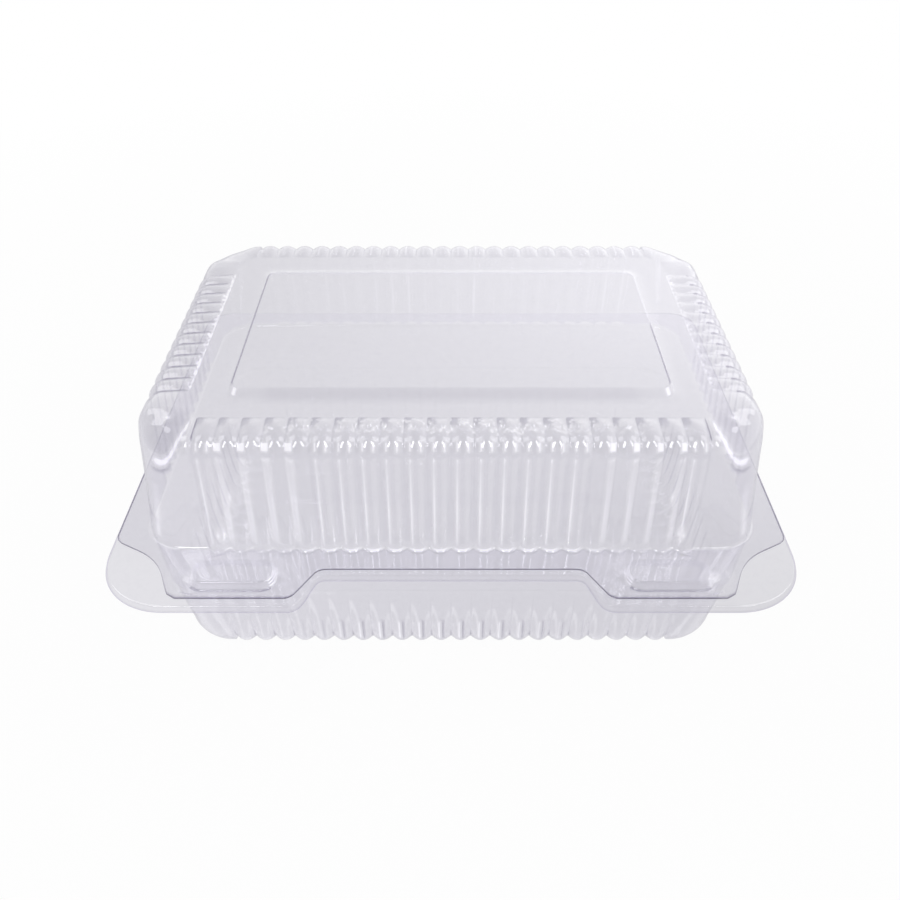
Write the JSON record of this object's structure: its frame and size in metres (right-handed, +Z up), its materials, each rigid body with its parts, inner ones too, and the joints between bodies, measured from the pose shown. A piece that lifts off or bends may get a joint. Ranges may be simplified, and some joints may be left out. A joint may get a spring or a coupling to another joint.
{
  "type": "hinged plastic clamshell pack",
  "caption": "Clear hinged food pack: a fluted tub and a fluted domed lid folded from one thin sheet, with snap tabs at the front.",
  "frame": {"origin": "on the ground plane, under the middle of the closed pack's outline, the hinge and lip included", "axes": "+X along the hinge to the right as seen from the front, +Y to the back, where the hinge is, +Z up"},
  "size_m": [0.2426, 0.192, 0.1067],
  "materials": {
    "clear_sheet": "clear gloss formed sheet"
  },
  "bodies": {
    "tub_body": {"tub": "clear_sheet"},
    "lid_body": {"lid": "clear_sheet"}
  },
  "joints": [
    {"name": "lid_hinge", "type": "hinge", "parent": "tub_body", "child": "lid_body", "pos_m": [0, 0.096, 0.0605], "axis": [-1, 0, 0], "range_deg": [0, 180]}
  ]
}
